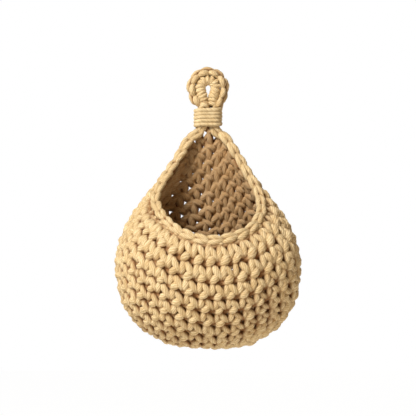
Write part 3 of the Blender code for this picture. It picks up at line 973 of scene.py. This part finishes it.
def cotton_cord(name, light, dark, line, painted_shade):
    """Cotton cord, laid from thin yarns that were spun and left undyed. It is matte, because
    its fibres scatter light, with a soft pale sheen where its fuzz is seen edge on. Faint
    slanted lines run between the yarns along every loop. Shade is painted into the colour: a
    deeper, warmer tone down in the hollows between the loops stands in for their shade and for
    light thrown from cord to cord, and a darker tone on the pocket's inside stands in for the
    shade there."""
    look = bpy.data.materials.new(name)
    look.use_nodes = True
    tree = look.node_tree
    shader = tree.nodes["Principled BSDF"]
    shader.inputs["Roughness"].default_value = 0.88
    shader.inputs["IOR"].default_value = 1.53
    shader.inputs["Specular IOR Level"].default_value = 0.25
    shader.inputs["Sheen Weight"].default_value = 0.12
    shader.inputs["Sheen Roughness"].default_value = 0.5
    shader.inputs["Sheen Tint"].default_value = linear("#F5E2BC")
    place = node(tree, "ShaderNodeTexCoord").outputs["Object"]
    proud = node(tree, "ShaderNodeAttribute", {"attribute_name": "proud"}).outputs["Fac"]
    outside = node(tree, "ShaderNodeMath", {"operation": "ABSOLUTE"}, {0: proud}).outputs[0]
    ridge, streaks = yarn_pattern(tree, place)
    cloud = node(
        tree, "ShaderNodeTexNoise", None, {"Vector": place, "Scale": CLOUD_SCALE, "Detail": 3.0}
    ).outputs[0]
    tone = node(
        tree,
        "ShaderNodeMix",
        {"data_type": "RGBA"},
        {"Factor": cloud, "A": linear(dark), "B": linear(light)},
    ).outputs["Result"]
    # Layers over the cloudy tone: what each follows, from where to where it fades, how strong
    # it starts and its colour. They are the yarns' lines, streaks, painted shade in the hollows
    # and painted shade on the inside.
    layers = (
        (ridge, (0.0, LINE_WIDTH_share), "LINEAR", LINE_DEPTH_share, line),
        (streaks, STREAK_RANGE, "LINEAR", STREAK_share, line),
        (outside, PAINTED_HOLLOW_SHADE_RANGE, "SMOOTHSTEP", PAINTED_HOLLOW_SHADE_share, painted_shade),
        (proud, PAINTED_INSIDE_SHADE_RANGE, "LINEAR", PAINTED_INSIDE_SHADE_share, painted_shade),
    )
    for value, (start, end), fade, share, colour in layers:
        layer = node(
            tree,
            "ShaderNodeMapRange",
            {"interpolation_type": fade},
            {"Value": value, "From Min": start, "From Max": end, "To Min": share, "To Max": 0.0},
        ).outputs[0]
        tone = node(
            tree,
            "ShaderNodeMix",
            {"data_type": "RGBA"},
            {"Factor": layer, "A": tone, "B": linear(colour)},
        ).outputs["Result"]
    tree.links.new(tone, shader.inputs["Base Color"])
    fuzz = node(
        tree, "ShaderNodeTexNoise", None, {"Vector": place, "Scale": FUZZ_SCALE, "Detail": 2.0}
    ).outputs[0]
    fuzzy = node(
        tree, "ShaderNodeMath", {"operation": "MULTIPLY_ADD"}, {0: fuzz, 1: FUZZ_share, 2: ridge}
    ).outputs[0]
    height = node(
        tree, "ShaderNodeMath", {"operation": "MULTIPLY_ADD"}, {0: streaks, 1: STREAK_HEIGHT, 2: fuzzy}
    ).outputs[0]
    bump = node(
        tree, "ShaderNodeBump", None, {"Strength": 0.6, "Distance": YARN_RELIEF, "Height": height}
    )
    tree.links.new(bump.outputs[0], shader.inputs["Normal"])
    return look


def area_light(name, spot, power, size, colour, aim):
    """A square soft light, turned to what it lights."""
    data = bpy.data.lights.new(name, "AREA")
    data.energy = power
    data.size = size
    data.color = linear(colour)[:3]
    lamp = bpy.data.objects.new(name, data)
    bpy.context.scene.collection.objects.link(lamp)
    lamp.location = spot
    lamp.rotation_euler = (Vector(aim) - Vector(spot)).to_track_quat("-Z", "Y").to_euler()


def make_surround():
    """White behind the basket, as the camera sees it, and dim warm light on the basket."""
    world = bpy.data.worlds.new("studio")
    bpy.context.scene.world = world
    world.use_nodes = True
    tree = world.node_tree
    tree.nodes.clear()
    rays = node(tree, "ShaderNodeLightPath").outputs
    seen = rays["Is Camera Ray"]
    for other in ("Is Glossy Ray", "Is Transmission Ray"):
        seen = node(
            tree, "ShaderNodeMath", {"operation": "MAXIMUM"}, {0: seen, 1: rays[other]}
        ).outputs[0]
    strength = node(
        tree, "ShaderNodeMapRange", None, {"Value": seen, "To Min": WORLD_LIGHT, "To Max": 1.0}
    ).outputs[0]
    tint = node(
        tree,
        "ShaderNodeMix",
        {"data_type": "RGBA"},
        {"Factor": seen, "A": linear(SOFT_LIGHT), "B": linear("#FFFFFF")},
    ).outputs["Result"]
    surround = node(
        tree, "ShaderNodeBackground", None, {"Color": tint, "Strength": strength}
    ).outputs[0]
    node(tree, "ShaderNodeOutputWorld", None, {"Surface": surround})


def matt_floor():
    """A floor painted matt white, with no glint. The camera sees it nearly as white as the
    surround, so that hardly a shadow shows on it."""
    look = bpy.data.materials.new("white matt floor")
    look.use_nodes = True
    tree = look.node_tree
    shader = tree.nodes["Principled BSDF"]
    shader.inputs["Base Color"].default_value = linear("#F4F3F0")
    shader.inputs["Roughness"].default_value = 0.9
    seen = node(tree, "ShaderNodeLightPath").outputs["Is Camera Ray"]
    share = node(
        tree, "ShaderNodeMath", {"operation": "MULTIPLY"}, {0: seen, 1: FLOOR_WHITE_share}
    ).outputs[0]
    white = node(
        tree, "ShaderNodeEmission", None, {"Color": linear("#FFFFFF"), "Strength": 1.0}
    ).outputs[0]
    mixed = node(
        tree, "ShaderNodeMixShader", None, {0: share, 1: shader.outputs[0], 2: white}
    ).outputs[0]
    tree.links.new(mixed, tree.nodes["Material Output"].inputs["Surface"])
    return look


def make_stage():
    """A pale floor below the basket, a white surround, and soft light from the upper left,
    with less from the right in front and from behind."""
    scene = bpy.context.scene
    scene.view_settings.view_transform = "Standard"
    make_surround()
    corners = ((-1, -1), (1, -1), (1, 1), (-1, 1))
    mesh = bpy.data.meshes.new("floor")
    mesh.from_pydata(
        [(x * FLOOR_REACH, y * FLOOR_REACH, FLOOR_Z) for x, y in corners], [], [(0, 1, 2, 3)]
    )
    mesh.materials.append(matt_floor())
    floor = bpy.data.objects.new("floor", mesh)
    scene.collection.objects.link(floor)
    for lamp in LAMPS:
        area_light(*lamp, (0.0, LAMP_AIM_Y, up(POCKET_HEIGHT / 2)))


def make_camera():
    """A long lens, level with the basket, as in the photograph."""
    data = bpy.data.cameras.new("camera")
    data.sensor_width = SENSOR_WIDTH_MM
    data.lens = CAMERA_DISTANCE / FRAME_WIDTH * data.sensor_width
    camera = bpy.data.objects.new("camera", data)
    bpy.context.scene.collection.objects.link(camera)
    camera.location = (0.0, FRAME_Y - CAMERA_DISTANCE, FRAME_MIDDLE_Z)
    camera.rotation_euler = (math.pi / 2, 0.0, 0.0)
    bpy.context.scene.camera = camera


# Each cotton's colours: its light and its dark tone, the lines between yarns, and the painted shade of
# the hollows and the inside.
# The body's cord is soft and loosely laid. The fine one is harder twisted and a little paler.
look = cotton_cord("soft laid cotton cord", "#EBDAB6", "#D9C192", "#A67E42", "#7F4A16")
fine_look = cotton_cord("fine twisted cord", "#EFE0BE", "#DFC89A", "#B08E56", "#8A602C")
rim = mouth_curve()
net, normals = fabric_net(rim)
last = last_rounds()
cut_net, cut_normals = cut_rounds(net, last), cut_rounds(normals, last)
chance = np.random.default_rng(SEED)
for number, stitches in enumerate(ROUND_STITCHES):
    make_round(number, stitches, cut_net, cut_normals, last, look, chance)
make_edge(rim, net, normals, look, chance)
make_loop(look, chance)
make_binding(fine_look, chance)
make_stage()
make_camera()
